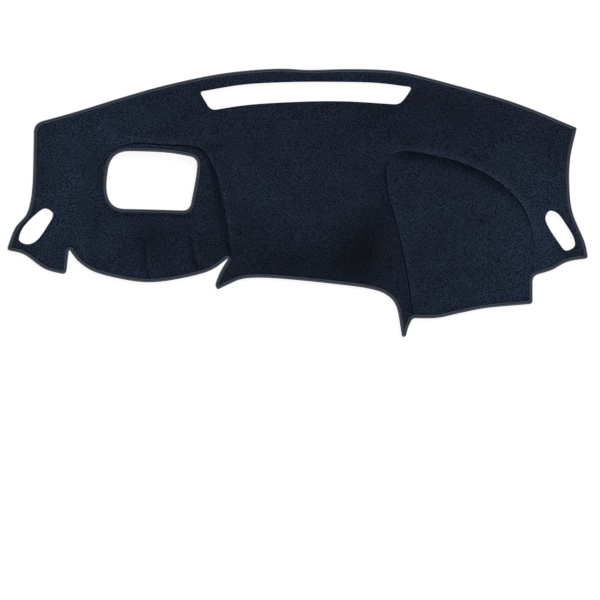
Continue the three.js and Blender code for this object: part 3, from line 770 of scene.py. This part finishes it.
def twisted_thread(name, dark, light):
    """A finish of twisted yarn between two colours."""
    made, n, shader = finish_tree(name)
    twist = n.add("ShaderNodeGroup", {"Ribs per Metre": 900.0, "Slant": 0.6}, node_tree=weave)
    n.tree.links.new(n.add("ShaderNodeTexCoord").outputs["Object"], twist.inputs["Vector"])
    colours = n.add("ShaderNodeValToRGB", {"Fac": twist.outputs["Shade"]})
    colours.color_ramp.elements[0].color = dark
    colours.color_ramp.elements[1].color = light
    n.tree.links.new(colours.outputs["Color"], shader.inputs["Base Color"])
    bump = n.add("ShaderNodeBump", {"Height": twist.outputs["Height"], "Strength": 0.5, "Distance": 0.0002})
    n.tree.links.new(bump.outputs[0], shader.inputs["Normal"])
    shader.inputs["Roughness"].default_value = 0.5
    return made


hem_thread = twisted_thread("navy hem thread", (0.004, 0.005, 0.008, 1), (0.020, 0.024, 0.034, 1))
# Painted shade: the seam thread is near-black so that it stands in for the shadow in the crease
crease_shade_thread = twisted_thread("near-black crease shade thread", (0.0012, 0.0016, 0.0026, 1), (0.008, 0.010, 0.014, 1))


def hem_stitches(name, hem, lift):
    """The row along a binding, left out where two stretches of tape meet in a tight corner."""
    loop, ways, reach = [np.concatenate([part, part[:1]]) for part in hem]
    line = loop + ways * np.minimum(reach, STITCH_LINE)[:, None]
    level = np.full(len(line), STITCH_LEVEL + lift)
    return stitch_row(name, line, level, STITCH_PITCH, STITCH_LENGTH, reach > STITCH_LINE + STITCH_ROOM)


def crease_shade_stitches(name, seam):
    """A near-black thread at the foot of a seam's crease, as painted shade for the crease, its stitches end
    to end.
    The nearest points of the net give the crease's height."""
    on_mat = inside(seam[:, :2], hem_line) & (nearest_on(seam, outline, True)[0] > STITCH_LINE)
    line = seam[on_mat][:, :2]
    at = [int(np.argmin(((flat - p) ** 2).sum(1))) for p in line]
    return stitch_row(name, line, pile[at] - THREAD_SUNK, SEAM_STITCH, SEAM_STITCH * SEAM_OVERLAP)


outer_stitches = hem_stitches("outer_edge_stitches", hems[0], 0.0)
window_stitches = hem_stitches("window_edge_stitches", hems[1], WINDOW_LIFT)
driver_crease_thread = crease_shade_stitches("driver_crease_shade_thread", driver_seam)
passenger_crease_thread = crease_shade_stitches("passenger_crease_shade_thread", passenger_seam)
for stitches, thread in ((outer_stitches, hem_thread), (window_stitches, hem_thread),
                         (driver_crease_thread, crease_shade_thread), (passenger_crease_thread, crease_shade_thread)):
    stitches.data.materials.append(thread)
    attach(stitches, "root")

# The floor: a plain white surface under the mat, which shows pure white to the camera away from the
# mat's soft shadow.
FLOOR_SIDE = 30.0
FLOOR_LEVEL = -0.0002
FLOOR_GLOW = 1.05
FLOOR_GLOW_SHARE = 0.87
half = FLOOR_SIDE / 2
floor_mesh = bpy.data.meshes.new("floor")
floor_corners = [(-half, -half, FLOOR_LEVEL), (half, -half, FLOOR_LEVEL), (half, half, FLOOR_LEVEL),
                 (-half, half, FLOOR_LEVEL)]
floor_mesh.from_pydata(floor_corners, [], [(0, 1, 2, 3)])
floor = bpy.data.objects.new("floor", floor_mesh)
bpy.context.scene.collection.objects.link(floor)
floor_finish, n, shader = finish_tree("white floor")
shader.inputs["Base Color"].default_value = (0.86, 0.86, 0.86, 1)
shader.inputs["Roughness"].default_value = 0.9
shader.inputs["Specular IOR Level"].default_value = 0.0
path = n.add("ShaderNodeLightPath").outputs
seen = n.math("MAXIMUM", path["Is Camera Ray"], n.math("MAXIMUM", path["Is Glossy Ray"],
                                                       path["Is Transmission Ray"]))
glow = n.add("ShaderNodeEmission", {"Color": (1, 1, 1, 1), "Strength": FLOOR_GLOW})
both = n.add("ShaderNodeMixShader", {0: n.math("MULTIPLY", seen, FLOOR_GLOW_SHARE)})
n.tree.links.new(shader.outputs[0], both.inputs[1])
n.tree.links.new(glow.outputs[0], both.inputs[2])
n.tree.links.new(both.outputs[0], n.tree.nodes["Material Output"].inputs["Surface"])
floor.data.materials.append(floor_finish)

# Studio light: a broad soft lamp beyond the windscreen edge, a little to the right, and an even room
ROOM_LIGHT = 0.3
LAMP_STRENGTH = 4.4
LAMP_WIDTH = 24
LAMP_TILT = -62
LAMP_TURN = -32
world = bpy.data.worlds.new("white room")
bpy.context.scene.world = world
world.use_nodes = True
room = world.node_tree.nodes["Background"]
room.inputs["Color"].default_value = (1, 1, 1, 1)
room.inputs["Strength"].default_value = ROOM_LIGHT
lamp = bpy.data.lights.new("window light", "SUN")
lamp.energy = LAMP_STRENGTH
lamp.angle = math.radians(LAMP_WIDTH)
lamp_object = bpy.data.objects.new("window light", lamp)
lamp_object.rotation_euler = (math.radians(LAMP_TILT), 0, math.radians(LAMP_TURN))
bpy.context.scene.collection.objects.link(lamp_object)

# The camera looks straight down from high above, with the mat in the upper part of the frame
FRAME_WIDTH = 1.4488
FRAME_CENTRE = (0.0058, -0.2349)
LENS = 200.0
FILM = 36.0
camera_data = bpy.data.cameras.new("overhead")
camera_data.lens = LENS
camera_data.sensor_width = FILM
camera_data.clip_end = 100
camera = bpy.data.objects.new("overhead", camera_data)
camera.location = (*FRAME_CENTRE, FRAME_WIDTH * LENS / FILM)
bpy.context.scene.collection.objects.link(camera)
bpy.context.scene.camera = camera
bpy.context.scene.view_settings.view_transform = "Standard"
